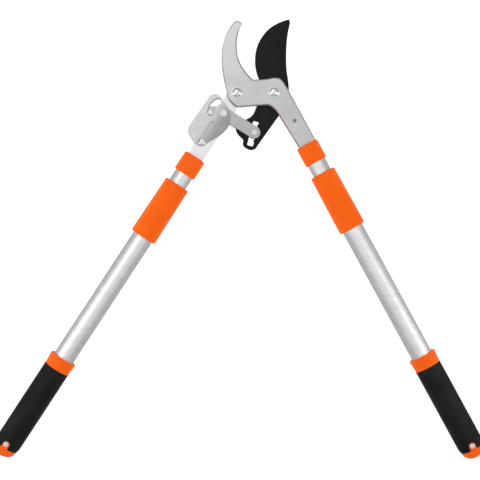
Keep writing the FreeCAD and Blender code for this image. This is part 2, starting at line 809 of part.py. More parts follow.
def link_plate(name, bottom):
    """Bent two-arm link: a long arm to the ratchet pin and a short tail to the spring post."""
    body = new_body(name)
    radius = float(S.link_end_radius)
    long_arm = new_sketch(body, height=bottom)
    stadium(long_arm, (float(S.link_length), 0.0), radius)
    add_circle(long_arm, ZERO, ZERO, S.rivet_radius + S.pivot_fit)
    add_circle(long_arm, S.link_length, ZERO, S.pin_radius + S.seat_gap)
    pad(body, long_arm, S.link_thick)
    tail = new_sketch(body, height=bottom)
    stadium(tail, tail_spot(), radius)
    add_circle(tail, ZERO, ZERO, S.rivet_radius + S.pivot_fit)
    add_circle(tail, *tail_spot(), S.tail_screw_radius + S.seat_gap)
    pad(body, tail, S.link_thick)
    return place(body, link_frame)


def headed_pin(name, bottom, top, radius, head_radius, head):
    """Rivet with a flat head at each end."""
    return turned_upright(name, [
        (ZERO, bottom - head),
        (head_radius, bottom - head),
        (head_radius, bottom),
        (radius, bottom),
        (radius, top),
        (head_radius, top),
        (head_radius, top + head),
        (ZERO, top + head),
    ])


def ratchet_pin():
    front = link_front_bottom + S.link_thick
    back = link_rear_top - S.link_thick
    body = headed_pin("ratchet_pin", back, front, S.pin_radius, S.pin_head_radius, S.pin_head)
    return place(body, link_frame * move(S.link_length))


def spring_post():
    """Spacer between the link's tails that the spring hooks on to."""
    body = washer("spring_post", S.post_radius, S.tail_screw_radius + S.seat_gap,
                  link_front_bottom - link_rear_top)
    x, y = tail_spot()
    return place(body, link_frame * move(x, y, link_rear_top))


def tail_screw():
    back = link_rear_top - S.link_thick
    front = link_front_bottom + S.link_thick
    top = front + S.tail_head
    body = turned_upright("tail_screw", [
        (ZERO, back - S.tail_peen),
        (S.tail_screw_radius + S.tail_peen, back - S.tail_peen),
        (S.tail_screw_radius + S.tail_peen, back),
        (S.tail_screw_radius, back),
        (S.tail_screw_radius, front),
        (S.tail_head_radius, front),
        (S.tail_head_radius, top),
        (ZERO, top),
    ])
    round_edges(body, S.head_round, lambda edge: at_height(edge, top.value))
    cross_recess(body, top, S.tail_head_radius * 0.55)
    x, y = tail_spot()
    return place(body, link_frame * move(x, y))


# ---------------------------------------------------------------- housing on the left arm

def window_outline():
    """Arc-shaped window that the tail screw travels along, from the arm's frame."""
    x, y = tail_spot()
    start = math.degrees(math.atan2(y, x)) + float(S.link_turn)
    end = start - float(S.window_sweep)
    centre = V(float(S.link_run), 0, 0)

    def on_arc(radius, degrees):
        angle = math.radians(degrees)
        return (centre.x + radius * math.cos(angle), centre.y + radius * math.sin(angle))

    middle = (start + end) / 2
    reach = float(S.tail_length)
    half = float(S.window_half)
    past = math.degrees(half / reach)
    return on_arc(reach + half, start), [
        ("arc", on_arc(reach, start + past), on_arc(reach - half, start)),
        ("arc", on_arc(reach - half, middle), on_arc(reach - half, end)),
        ("arc", on_arc(reach, end - past), on_arc(reach + half, end)),
        ("arc", on_arc(reach + half, middle), on_arc(reach + half, start)),
    ]


def housing_shell(name, face, inward, seat):
    """Pressed shell. face is its raised sheet's lower side, seat is where it lies on the arm.

    inward is +1 where the seat is below the face and -1 where it is above it.
    """
    body = new_body(name)
    raised = new_sketch(body, height=face)
    add_outline(raised, (70.0, -28.3), [
        (25.5, -27.2),
        ("arc", (18.4, -24.6), (15.6, -18.8)),
        (15.6, -14.6),
        ("curve", (19.2, -8.4), (25.0, 3.6), (33.0, 10.6), (42.0, 13.6), (50.0, 12.8), (60.6, 9.9)),
        (47.6, -3.7),
        ("arc", (46.2, -6.2), (47.6, -8.6)),
        (83.6, -9.9),
        (83.2, -13.2),
        ("curve", (80.2, -21.2), (76.2, -26.2), (70.0, -28.3)),
    ])
    start, window = window_outline()
    add_outline(raised, start, window)
    add_circle(raised, S.link_run, ZERO, S.rivet_radius + S.seat_gap)
    add_circle(raised, S.anchor_run, S.anchor_side, S.anchor_radius + S.seat_gap)
    pad(body, raised, S.shell_thick)

    step_bottom = seat if inward > 0 else face
    step_height = face + S.shell_thick - seat if inward > 0 else seat + S.shell_thick - face
    step = new_sketch(body, height=step_bottom)
    add_outline(step, (60.6, 9.9), [
        (47.6, -3.7),
        ("arc", (46.2, -6.2), (47.6, -8.6)),
        (83.6, -9.9),
        (83.4, -8.4),
        (48.6, -7.1),
        ("arc", (47.8, -6.0), (48.4, -5.0)),
        (62.2, 9.3),
    ])
    pad(body, step, step_height)

    floor = new_sketch(body, height=seat)
    add_outline(floor, (62.0, 9.4), [
        (48.2, -5.2),
        ("arc", (47.6, -6.1), (48.3, -7.3)),
        (83.4, -8.6),
        ("arc", (83.9, -3.4), (80.6, 0.6)),
    ])
    add_circle(floor, S.screw_run, S.screw_side, S.screw_radius + S.seat_gap)
    pad(body, floor, S.shell_thick)

    split = middle_layer + S.rim_split if inward > 0 else face
    rim_height = face + S.shell_thick - split if inward > 0 else middle_layer - S.rim_split - face
    rim = new_sketch(body, height=split)
    wall = float(S.shell_thick)
    add_outline(rim, (70.0, -28.3), [
        (25.5, -27.2),
        (25.5, -27.2 + wall),
        (70.0, -28.3 + wall),
        ("curve", (75.3, -24.9), (78.9, -20.4), (81.8, -12.6)),
        (83.2, -13.2),
        ("curve", (80.2, -21.2), (76.2, -26.2), (70.0, -28.3)),
    ])
    pad(body, rim, rim_height)
    return place(body, left_frame)


def link_rivet():
    body = headed_pin("link_rivet", shell_rear - S.shell_thick, shell_front + S.shell_thick,
                      S.rivet_radius, S.rivet_head_radius, S.rivet_head)
    return place(body, left_frame * move(S.link_run))


def anchor_rivet():
    body = headed_pin("anchor_rivet", shell_rear - S.shell_thick, shell_front + S.shell_thick,
                      S.anchor_radius, S.anchor_head_radius, S.anchor_head)
    return place(body, left_frame * move(S.anchor_run, S.anchor_side))


def housing_screw():
    """Screw that clamps both shells to the arm, with its nut behind."""
    front = S.shell_thick
    back = arm_back - S.shell_thick
    end = back - S.screw_nut - S.screw_overrun
    top = front + S.screw_head
    spot = left_frame * move(S.screw_run, S.screw_side)
    body = turned_upright("housing_screw", [
        (ZERO, end),
        (S.screw_radius, end),
        (S.screw_radius, front),
        (S.screw_head_radius, front),
        (S.screw_head_radius, top),
        (ZERO, top),
    ])
    round_edges(body, S.screw_head * 0.7, lambda edge: at_height(edge, top.value))
    cross_recess(body, top, S.screw_head_radius * 0.5)
    place(body, spot)
    bore = S.screw_radius + S.seat_gap
    small_nut = nut("housing_nut", S.screw_nut_flats, S.screw_nut, bore)
    place(small_nut, spot * move(z=back - S.screw_nut))


def ratchet_spring():
    """Extension spring from the link's tail to the anchor rivet: a coil between two eyes."""
    wire = float(S.wire_radius)
    coil = float(S.spring_radius)
    tail = left_frame.inverse().multVec(link_frame.multVec(V(*tail_spot(), 0)))
    anchor = V(float(S.anchor_run), float(S.anchor_side), 0)
    span = tail.distanceToPoint(anchor)
    tail_eye = float(S.post_radius) + wire + 0.1
    anchor_eye = float(S.anchor_radius) + wire + 0.1
    start = tail_eye
    length = span - tail_eye - anchor_eye
    helix = Part.makeHelix(wire * 2.5, length, coil)
    profile = Part.Wire(Part.makeCircle(wire, V(coil, 0, 0), V(0, 1, 0)))
    turns = Part.Wire(helix.Edges).makePipeShell([profile], True, True)
    turns.rotate(V(0, 0, 0), V(0, 1, 0), 90)
    turns.translate(V(start, 0, 0))
    pieces = []
    for eye, centre, bar in ((tail_eye, 0.0, start), (anchor_eye, span, start + length)):
        pieces.append(Part.makeTorus(eye, wire, V(centre, 0, 0), V(0, 0, 1)))
        pieces.append(Part.makeCylinder(wire, 2 * coil, V(bar, 0, -coil), V(0, 0, 1)))
    feature = doc.addObject("Part::Feature", "ratchet_spring")
    feature.Label = "ratchet_spring"
    feature.Shape = turns.multiFuse(pieces)
    heading = math.degrees(math.atan2(anchor.y - tail.y, anchor.x - tail.x))
    frame = left_frame * move(tail.x, tail.y, middle_layer) * turn_by(heading)
    return place(feature, frame)


# ---------------------------------------------------------------- telescopic handles

def ferrule(side, frame, collar, half_low, half_high, low, high):
    """Collar over the joint of the flat shank and the round inner tube."""
    top = collar - S.ferrule_length / 2
    end = collar + S.ferrule_length / 2
    seat = collar - S.tube_seat
    bore = S.inner_radius + S.seat_gap
    body = turned_along_handle(side + "_ferrule", [
        (top, ZERO),
        (top, S.ferrule_radius),
        (end, S.ferrule_radius),
        (end, bore),
        (seat, bore),
        (seat, ZERO),
    ])
    slot = new_sketch(body, height=low - S.seat_gap)
    before = top - S.overcut
    past = seat + S.overcut
    add_polygon(slot, [
        (before, half_low - S.seat_gap),
        (past, half_low - S.seat_gap),
        (past, half_high + S.seat_gap),
        (before, half_high + S.seat_gap),
    ])
    cut_up(body, slot, high - low + S.seat_gap * 2)
    round_edges(body, S.ferrule_round, lambda edge: is_circle(edge, S.ferrule_radius))
    return place(body, frame)


def tube(name, top, length, radius):
    bore = radius - S.tube_wall
    return turned_along_handle(name, [
        (top, bore),
        (top, radius),
        (top + length, radius),
        (top + length, bore),
    ])


def cross_hole(body, run, radius):
    """Hole through both walls of a tube, across its axis."""
    sketch = new_sketch(body)
    add_circle(sketch, run, ZERO, radius)
    feature = body.newObject("PartDesign::Pocket", body.Name + "_cross_hole")
    feature.Profile = sketch
    feature.Type = "ThroughAll"
    feature.Midplane = True


def handle_core(side, frame, collar):
    """Inner tube, its guide bush and the rivet through the tongue."""
    top = collar - S.tube_seat
    inner = tube(side + "_inner_tube", top, S.inner_length, S.inner_radius)
    rivet_run = collar + S.tang_rivet_run
    cross_hole(inner, rivet_run, S.tang_rivet_radius + S.seat_gap)
    place(inner, frame)
    reach = S.inner_radius - S.tang_rivet_round / 2
    rivet = turned_upright(side + "_tang_rivet", [
        (ZERO, -reach),
        (S.tang_rivet_radius, -reach),
        (S.tang_rivet_radius, reach),
        (ZERO, reach),
    ])
    round_edges(rivet, S.tang_rivet_round, lambda edge: is_circle(edge, S.tang_rivet_radius))
    place(rivet, frame * move(rivet_run))
    tube_end = top + S.inner_length
    spigot = S.inner_radius - S.tube_wall - S.seat_gap
    flange = S.outer_radius - S.tube_wall - S.slide_fit
    bush = turned_along_handle(side + "_guide_bush", [
        (tube_end - S.bush_spigot, spigot - S.bush_wall),
        (tube_end - S.bush_spigot, spigot),
        (tube_end, spigot),
        (tube_end, flange),
        (tube_end + S.bush_flange, flange),
        (tube_end + S.bush_flange, spigot - S.bush_wall),
    ])
    place(bush, frame)


def lock_parts(side, frame, collar):
    """Collet on the outer tube's mouth and the sleeve that twists over it."""
    mouth = collar + S.outer_top
    top = mouth - S.collet_lip
    end = top + S.collet_length
    collet = turned_along_handle(side + "_lock_collet", [
        (top, S.inner_radius + S.slide_fit),
        (top, S.collet_radius),
        (end, S.collet_radius),
        (end, S.outer_radius + S.seat_gap),
        (mouth, S.outer_radius + S.seat_gap),
        (mouth, S.inner_radius + S.slide_fit),
    ])
    place(collet, frame)
    sleeve_top = collar + S.sleeve_top
    inside = sleeve_top + S.sleeve_lip
    step = end + S.collet_room
    sleeve = turned_along_handle(side + "_lock_sleeve", [
        (sleeve_top, S.inner_radius + S.slide_fit + S.sleeve_fit),
        (sleeve_top, S.sleeve_top_radius),
        (sleeve_top + S.sleeve_length, S.sleeve_end_radius),
        (sleeve_top + S.sleeve_length, S.outer_radius + S.sleeve_fit),
        (step, S.outer_radius + S.sleeve_fit),
        (step, S.collet_radius + S.sleeve_fit),
        (inside, S.collet_radius + S.sleeve_fit),
        (inside, S.inner_radius + S.slide_fit + S.sleeve_fit),
    ])

    def outer_rim(edge):
        return is_circle(edge, S.sleeve_top_radius) or is_circle(edge, S.sleeve_end_radius)

    round_edges(sleeve, S.sleeve_round, outer_rim)
    place(sleeve, frame)


def tongue_outline(sketch, run, end, radius):
    """Strip with a round end about run, that goes on down the handle to end."""
    centre = float(run)
    half = float(radius)
    add_outline(sketch, (centre, half), [
        (float(end), half),
        (float(end), -half),
        (centre, -half),
        ("arc", (centre - half, 0.0), (centre, half)),
    ])


def grip_parts(side, frame, collar):
    """Outer tube, flared ring, grip and end cap with its screw."""
    outer = tube(side + "_outer_tube", collar + S.outer_top, S.outer_length, S.outer_radius)
    tube_end = collar + S.outer_top + S.outer_length
    ring_top = collar + S.ring_top
    grip_top = ring_top + S.ring_length
    grip_end = grip_top + S.grip_length
    bore = S.outer_radius + S.seat_gap
    screw_run = grip_end - S.cap_screw_back
    mouth_radius = S.grip_end_radius - S.grip_lip
    place(outer, frame)

    ring = turned_along_handle(side + "_grip_ring", [
        (ring_top, bore),
        (ring_top, S.ring_radius),
        (grip_top, S.ring_end_radius),
        (grip_top, bore),
    ])
    round_edges(ring, S.ring_round, lambda edge: is_circle(edge, S.ring_radius))
    place(ring, frame)

    grip = turned_along_handle(side + "_grip", [
        (grip_top, bore),
        (grip_top, S.grip_radius),
        (grip_end - S.grip_taper, S.grip_radius, tangent_bulge(S.grip_taper, S.grip_draw)),
        (grip_end, S.grip_end_radius),
        (grip_end, mouth_radius),
        (tube_end, mouth_radius),
        (tube_end, bore),
    ])
    notch = new_sketch(grip)
    tongue_outline(notch, screw_run, grip_end + S.overcut, S.tongue_radius + S.tongue_gap)
    cut_up(grip, notch, S.grip_radius + S.overcut)
    place(grip, frame)

    plug = S.outer_radius - S.tube_wall - S.seat_gap
    neck = mouth_radius - S.seat_gap
    cap = turned_along_handle(side + "_end_cap", [
        (tube_end - S.plug_length, ZERO),
        (tube_end - S.plug_length, plug),
        (tube_end, plug),
        (tube_end, neck),
        (grip_end, neck),
        *crowned_end(grip_end, S.grip_end_radius, S.cap_dome, S.cap_knuckle, S.cap_flat),
    ])
    tongue = new_sketch(cap, height=neck - S.tongue_root)
    tongue_outline(tongue, screw_run, grip_end, S.tongue_radius)
    pad(cap, tongue, S.tongue_height - neck + S.tongue_root)
    screw_bottom = S.tongue_height - S.cap_screw_length
    screw_hole = new_sketch(cap, height=screw_bottom)
    add_circle(screw_hole, screw_run, ZERO, S.cap_screw_radius + S.seat_gap)
    cut_up(cap, screw_hole, S.cap_screw_length + S.overcut)
    place(cap, frame)

    screw_top = S.tongue_height + S.cap_screw_head
    screw = turned_upright(side + "_cap_screw", [
        (ZERO, screw_bottom),
        (S.cap_screw_radius, screw_bottom),
        (S.cap_screw_radius, S.tongue_height),
        (S.cap_screw_head_radius, S.tongue_height),
        (S.cap_screw_head_radius, screw_top),
        (ZERO, screw_top),
    ])
    round_edges(screw, S.head_round, lambda edge: at_height(edge, screw_top.value))
    cross_recess(screw, screw_top, S.cap_screw_head_radius * 0.55)
    place(screw, frame * move(screw_run))


# ---------------------------------------------------------------- assembly

def build_head():
    hook_plate()
    stop_pin()
    pivot_set(("arm_bolt", "arm_bolt_washer", "arm_bolt_nut"), move(), arm_back)
    pivot_set(("blade_bolt", "blade_bolt_washer", "blade_bolt_nut"), blade_pivot, blade_back)
    blade()
    left_arm()
    link_plate("link_front", link_front_bottom)
    link_plate("link_rear", link_rear_top - S.link_thick)
    ratchet_pin()
    spring_post()
    tail_screw()
    housing_shell("housing_front", shell_front, 1, ZERO)
    housing_shell("housing_rear", shell_rear - S.shell_thick, -1, arm_back - S.shell_thick)
    link_rivet()
    anchor_rivet()
    housing_screw()
    ratchet_spring()


def build_handle(side, frame, collar, half_low, half_high, low, high):
    ferrule(side, frame, collar, half_low, half_high, low, high)
    handle_core(side, frame, collar)
    lock_parts(side, frame, collar)
    grip_parts(side, frame, collar)


build_head()
build_handle("left", left_frame, S.left_collar_run,
             -S.arm_width / 2, S.arm_width / 2, arm_back, ZERO)
build_handle("right", right_frame, S.right_collar_run,
             S.shank_offset - S.shank_width / 2, S.shank_offset + S.shank_width / 2,
             hook_back, hook_front)
doc.recompute()

for obj in doc.Objects:
    if "Invalid" in obj.State or "Error" in obj.State:
        raise RuntimeError("%s failed: %s" % (obj.Name, obj.State))
for piece in placed:
    if piece.Shape.isNull() or not piece.Shape.isValid():
        raise RuntimeError("%s has no valid shape" % piece.Label)

# The origin goes to the middle of the assembly's footprint, on the surface it lies on.
whole = FreeCAD.BoundBox()
for piece in placed:
    whole.add(piece.Shape.optimalBoundingBox(False))
shift = move(-whole.Center.x, -whole.Center.y, -whole.ZMin)
for piece in placed:
    piece.Placement = shift * piece.Placement
doc.recompute()

os.makedirs("parts", exist_ok=True)
for piece in placed:
    piece.Shape.exportStep("parts/%s.step" % piece.Label)
print("pieces", len(placed))
print("size", whole.XLength, whole.YLength, whole.ZLength)
print("handle pivot at", shift.Base.x, shift.Base.y, shift.Base.z)
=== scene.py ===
"""Telescopic ratchet bypass loppers: finishes, softened pieces, light and camera."""
import json
import math

import bmesh
import bpy
from bpy.props import FloatProperty, FloatVectorProperty, PointerProperty
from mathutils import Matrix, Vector


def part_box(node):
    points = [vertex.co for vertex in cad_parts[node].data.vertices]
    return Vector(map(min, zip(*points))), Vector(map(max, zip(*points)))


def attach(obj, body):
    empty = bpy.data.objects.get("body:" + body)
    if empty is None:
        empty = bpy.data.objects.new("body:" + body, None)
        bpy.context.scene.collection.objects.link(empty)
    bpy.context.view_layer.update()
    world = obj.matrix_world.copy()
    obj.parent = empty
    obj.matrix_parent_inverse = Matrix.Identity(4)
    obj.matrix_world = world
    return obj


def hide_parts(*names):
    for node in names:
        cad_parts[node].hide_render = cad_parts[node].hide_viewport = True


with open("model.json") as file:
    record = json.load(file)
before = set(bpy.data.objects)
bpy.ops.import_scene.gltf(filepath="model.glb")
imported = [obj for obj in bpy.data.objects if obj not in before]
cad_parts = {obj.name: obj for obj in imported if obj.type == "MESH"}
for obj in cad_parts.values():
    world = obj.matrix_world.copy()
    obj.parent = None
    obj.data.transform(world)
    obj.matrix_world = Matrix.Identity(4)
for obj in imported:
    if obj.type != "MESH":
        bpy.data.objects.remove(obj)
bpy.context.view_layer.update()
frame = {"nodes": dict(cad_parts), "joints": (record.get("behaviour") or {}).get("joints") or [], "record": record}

bl_info = {
    "name": "Bypass loppers",
    "version": (1, 0, 0),
    "blender": (4, 5, 0),
    "location": "3D View > Sidebar > Loppers",
    "description": "Builds the finishes and softened pieces of telescopic bypass loppers",
    "category": "Object",
}

NODES = frame["nodes"]
JOINTS = {joint["name"]: joint for joint in frame["joints"]}
SIDES = ("left", "right")
HEAD_PIVOT = Vector(JOINTS["handle_pivot"]["pos_m"])

# Height in the sky, from the horizon to straight above, and how bright it is there.
SKY_LEVELS = ((0.0, 0.52), (0.25, 0.36), (0.55, 0.54), (0.85, 0.80), (1.0, 0.84))
SENSOR_WIDTH = 36.0
FLOOR_REACH = 30.0
SAME_POINT = 1e-6
FLAT_WITHIN = math.radians(0.3)
WHITE = (1.0, 1.0, 1.0)
BARE_CORNER = (0.22, 0.22, 0.23)
GROUND_STEEL = (0.62, 0.62, 0.63)


# ---------------------------------------------------------------- settings

def colour(name, description, default):
    return FloatVectorProperty(
        name=name, description=description, default=default,
        subtype="COLOR", size=3, min=0.0, max=1.0,
    )


def length(name, description, default):
    return FloatProperty(
        name=name, description=description, default=default,
        unit="LENGTH", subtype="DISTANCE", min=0.0, precision=5,
    )


class LoppersColours(bpy.types.PropertyGroup):
    forged_steel: colour("Hook plate", "Satin steel of the hook plate", (0.55, 0.55, 0.555))
    arm_steel: colour("Left arm", "Bright plated steel of the left arm", (0.76, 0.76, 0.77))
    link_steel: colour("Link", "Plain steel of the ratchet link", (0.44, 0.44, 0.45))
    pressed_steel: colour("Housing", "Polished pressed steel", (0.60, 0.60, 0.61))
    fastener: colour("Fasteners", "Bright bolts, rivets and screws", (0.72, 0.72, 0.73))
    stop_pin: colour("Stop pin", "Dull steel of the stop pin", (0.26, 0.26, 0.27))
    spring: colour("Spring", "Oiled spring wire", (0.24, 0.24, 0.25))
    blade_coat: colour("Blade", "Black low-friction coating", (0.0075, 0.0075, 0.008))
    tube: colour("Tubes", "Satin anodised aluminium", (0.80, 0.80, 0.81))
    orange: colour("Orange plastic", "Ferrules, sleeves, rings and caps", (0.98, 0.128, 0.004))
    grip: colour("Grip", "Black rubber grip", (0.006, 0.006, 0.0065))
    inner_plastic: colour("Inner plastic", "Bushes and collets", (0.05, 0.05, 0.055))


class LoppersShape(bpy.types.PropertyGroup):
    plate_edge: length("Plate edge", "Softened edge of the steel plates", 0.00025)
    bar_edge: length("Bar edge", "Softened edge of the left arm", 0.0004)
    pressed_edge: length("Pressed edge", "Softened edge of the pressed shells", 0.0008)


class LoppersStage(bpy.types.PropertyGroup):
    camera_height: length("Camera height", "Camera above the pivots", 1.675)
    camera_across: length("Camera across", "Camera right of the handle pivot", 0.00374)
    camera_down: length("Camera down", "Camera below the handle pivot", 0.18976)
    lens: FloatProperty(
        name="Lens", description="Focal length in millimetres", default=97.35, min=10.0,
        subtype="DISTANCE_CAMERA",
    )
    overhead_power: FloatProperty(
        name="Overhead light", description="Power of the large soft light", default=5.0,
        unit="POWER", min=0.0,
    )
    side_power: FloatProperty(
        name="Side lights", description="Power of each of the two side lights", default=1.6,
        unit="POWER", min=0.0,
    )
    floor_glow: FloatProperty(
        name="Floor glow", description="Light that the backlit floor gives",
        default=0.80, min=0.0,
    )
    floor: colour("Floor", "Pale floor", (0.80, 0.80, 0.80))


class LoppersSettings(bpy.types.PropertyGroup):
    colours: PointerProperty(type=LoppersColours)
    shape: PointerProperty(type=LoppersShape)
    stage: PointerProperty(type=LoppersStage)


# ---------------------------------------------------------------- shader maths

class Value:
    """A socket of a finish. Arithmetic on it adds Math nodes."""

    def __init__(self, finish, socket):
        self.finish = finish
        self.socket = socket

    def combined(self, operation, first, second):
        return self.finish.node("ShaderNodeMath", {"operation": operation}, {0: first, 1: second})

    def __add__(self, other):
        return self.combined("ADD", self, other)

    def __radd__(self, other):
        return self.combined("ADD", other, self)

    def __sub__(self, other):
        return self.combined("SUBTRACT", self, other)

    def __rsub__(self, other):
        return self.combined("SUBTRACT", other, self)

    def __mul__(self, other):
        return self.combined("MULTIPLY", self, other)

    def __rmul__(self, other):
        return self.combined("MULTIPLY", other, self)


class Finish:
    """A material with one Principled shader and the nodes that vary it over a surface."""

    def __init__(self, name, **constants):
        self.material = bpy.data.materials.new(name)
        self.material.use_nodes = True
        self.tree = self.material.node_tree
        self.tree.nodes.clear()
        output = self.tree.nodes.new("ShaderNodeOutputMaterial")
        self.shader = self.tree.nodes.new("ShaderNodeBsdfPrincipled")
        self.tree.links.new(self.shader.outputs[0], output.inputs[0])
        for socket, value in constants.items():
            self.feed(socket.replace("_", " "), value)

    def feed(self, socket, value):
        """Sets or links an input of the shader."""
        self.connect(self.shader.inputs[socket], value)

    def connect(self, socket, value):
        if isinstance(value, Value):
            self.tree.links.new(value.socket, socket)
        else:
            socket.default_value = value

    def node(self, kind, settings=(), inputs=(), output=0):
        """Adds a node: its settings first, then its inputs. Gives one of its outputs."""
        made = self.tree.nodes.new(kind)
        for key, value in dict(settings).items():
            setattr(made, key, value)
        for key, value in dict(inputs).items():
            self.connect(made.inputs[key], value)
        return Value(self, made.outputs[output])

    def place(self, turn=0.0, stretch=(1.0, 1.0, 1.0), centre=(0.0, 0.0, 0.0)):
        """Object coordinates, measured from centre, turned about Z and stretched."""
        here = self.node("ShaderNodeTexCoord", output="Object")
        moved = self.node("ShaderNodeVectorMath", {"operation": "SUBTRACT"},
                          {0: here, 1: tuple(centre)})
        return self.node("ShaderNodeMapping", {"vector_type": "POINT"},
                         {"Vector": moved, "Rotation": (0.0, 0.0, turn), "Scale": stretch})

    def noise(self, where, scale, detail=3.0, roughness=0.55):
        return self.node("ShaderNodeTexNoise", inputs={
            "Vector": where, "Scale": scale, "Detail": detail, "Roughness": roughness,
        })

    def ramp(self, value, low, high, start=0.0, end=1.0):
        """Runs smoothly from start to end as value goes from low to high."""
        return self.node("ShaderNodeMapRange", {"interpolation_type": "SMOOTHSTEP"}, {
            "Value": value, "From Min": low, "From Max": high, "To Min": start, "To Max": end,
        })

    def mix(self, factor, first, second):
        """Mixes two colours."""
        return self.node("ShaderNodeMix", {"data_type": "RGBA"},
                         {0: factor, 6: first, 7: second}, output=2)

    def facing_up(self):
        """The upward share of the surface's own normal, from -1 to 1."""
        normal = self.node("ShaderNodeTexCoord", output="Normal")
        return self.node("ShaderNodeSeparateXYZ", inputs={0: normal}, output=2)

    def size_of(self, value):
        return self.node("ShaderNodeMath", {"operation": "ABSOLUTE"}, {0: value})

    def bump(self, height, distance, strength=1.0):
        """Raises the surface by height times distance, in metres."""
        normal = self.node("ShaderNodeBump", inputs={
            "Height": height, "Distance": distance, "Strength": strength,
        })
        self.feed("Normal", normal)


def tone(base, factor):
    """A colour made lighter or darker, as four numbers."""
    return tuple(min(1.0, part * factor) for part in base) + (1.0,)


# ---------------------------------------------------------------- finishes

def satin_steel(name, base, roughness, turn, sides=0.55, polish=0.6):
    """Ground plate: fine lines along its length, polished bevels and darker sheared sides."""
    made = Finish(name, Metallic=1.0)
    lines = made.noise(made.place(turn, (70.0, 2600.0, 2600.0)), 1.0, 2.0)
    clouds = made.noise(made.place(turn, (28.0, 60.0, 60.0)), 1.0, 4.0)
    specks = made.noise(made.place(), 1400.0, 2.0)
    up = made.size_of(made.facing_up())
    flat = made.ramp(up, 0.90, 0.99)
    side = made.ramp(up, 0.55, 0.25)
    cloudy = made.ramp(clouds, 0.3, 0.7)
    face = made.mix(cloudy, tone(base, 0.95), tone(base, 1.04))
    lined = made.mix(made.ramp(lines, 0.35, 0.65, 0.0, 0.30), face, tone(base, 0.86))
    polished = made.mix(flat, tone(base, 1.05), lined)
    made.feed("Base Color", made.mix(side, polished, tone(base, sides)))
    satin = roughness + (cloudy - 0.5) * 0.08 + (lines - 0.5) * 0.10
    shine = satin * (polish + flat * (1.0 - polish)) + side * 0.12
    made.feed("Roughness", shine)
    made.bump(lines * 0.7 + specks * 0.3, 0.00003, 0.5)
    return made.material


def pressed_steel(name, base, turn, centre):
    """Nickel-plated sheet: nearly a mirror, with faint waviness and handling marks.

    A soft dark strip of painted shade runs along the sheet, standing in for the shade where it bends away from the
    light.
    """
    made = Finish(name, Metallic=1.0)
    here = made.place(-turn, centre=centre)
    across = made.node("ShaderNodeSeparateXYZ", inputs={0: here}, output=1)
    waves = made.noise(made.place(turn, (45.0, 30.0, 30.0)), 1.0, 2.0)
    rubs = made.noise(made.place(turn + 0.6, (60.0, 1700.0, 900.0)), 1.0, 3.0)
    haze = made.noise(made.place(), 90.0, 4.0)
    up = made.size_of(made.facing_up())
    # painted shade: steep faces, the step walls and the sheet's edges, are darkened to 0.3 of the colour
    side = made.ramp(up, 0.7, 0.2)
    # painted shade: a soft dark strip across the handle's line darkens the sheet to 0.6 of its colour
    painted_shade_band = made.ramp(across + haze * 0.006, 0.0, 0.021) * made.ramp(across, 0.034, 0.026)
    lit = made.mix(made.ramp(haze, 0.35, 0.7), tone(base, 1.18), tone(base, 0.96))
    face = made.mix(painted_shade_band, lit, tone(base, 0.60))
    made.feed("Base Color", made.mix(side, face, tone(base, 0.30)))
    dull = made.ramp(haze, 0.4, 0.75) * 0.12 + made.ramp(rubs, 0.55, 0.8) * 0.10
    made.feed("Roughness", 0.17 + dull)
    made.bump(waves + rubs * 0.04, 0.00025, 0.35)
    return made.material


def bright_steel(name, base, centre):
    """Turned head: rings of tool marks round its own middle, a little tarnish in the hollows."""
    made = Finish(name, Metallic=1.0)
    flat_place = made.place(0.0, (1.0, 1.0, 0.0), centre)
    radius = made.node("ShaderNodeVectorMath", {"operation": "LENGTH"}, {0: flat_place}, output=1)
    rings = made.node("ShaderNodeMath", {"operation": "SINE"}, {0: radius * 14000.0})
    tarnish = made.noise(made.place(), 260.0, 4.0)
    dull = made.ramp(tarnish, 0.45, 0.75)
    made.feed("Base Color", made.mix(dull, tone(base, 1.08), tone(base, 0.78)))
    made.feed("Roughness", 0.16 + dull * 0.18 + rings * 0.02)
    made.bump(rings * 0.5 + tarnish * 0.3, 0.000012, 0.6)
    return made.material


def drawn_tube(name, base, turn):
    """Satin anodised tube with faint draw lines down its length."""
    made = Finish(name, Metallic=1.0)
    lines = made.noise(made.place(turn, (14.0, 1500.0, 1500.0)), 1.0, 3.0)
    bands = made.noise(made.place(turn, (4.0, 220.0, 220.0)), 1.0, 2.0)
    smears = made.noise(made.place(turn, (16.0, 60.0, 60.0)), 1.0, 4.0)
    streak = made.ramp(bands, 0.35, 0.7)
    shade = streak * 0.7 + lines * 0.3
    made.feed("Base Color", made.mix(shade, tone(base, 1.05), tone(base, 0.90)))
    smeared = made.ramp(smears, 0.35, 0.75) * 0.06
    made.feed("Roughness", 0.44 + smeared + (lines - 0.5) * 0.10)
    made.bump(lines, 0.00002, 0.5)
    return made.material


def coated_blade(name, base):
    """Baked black coating, thin on the corners, with the bevel behind ground bright."""
    made = Finish(name, Specular_IOR_Level=0.12)
    pebbles = made.noise(made.place(), 2200.0, 3.0)
    clouds = made.noise(made.place(), 45.0, 4.0)
    strokes = made.noise(made.place(1.25, (90.0, 2400.0, 2400.0)), 1.0, 2.0)
    up = made.facing_up()
    behind = made.ramp(up, -0.97, -0.92) * made.ramp(up, -0.25, -0.45)
    corner = made.ramp(made.size_of(up), 0.93, 0.80) * made.ramp(made.size_of(up), 0.45, 0.62)
    rubbed = corner * made.ramp(pebbles, 0.46, 0.60) * 0.5
    coat = made.mix(made.ramp(clouds, 0.3, 0.7), tone(base, 0.85), tone(base, 1.5))
    scuffed = made.mix(made.ramp(strokes, 0.66, 0.80) * 0.25, coat, tone(base, 4.0))
    worn = made.mix(rubbed, scuffed, tone(BARE_CORNER, 1.0))
    made.feed("Base Color", made.mix(behind, worn, tone(GROUND_STEEL, 1.0)))
    made.feed("Metallic", behind)
    coat_roughness = 0.46 + made.ramp(clouds, 0.3, 0.7) * 0.12
    made.feed("Roughness", coat_roughness * (1.0 - behind * 0.45))
    made.bump(pebbles, 0.00004, 0.45)
    return made.material


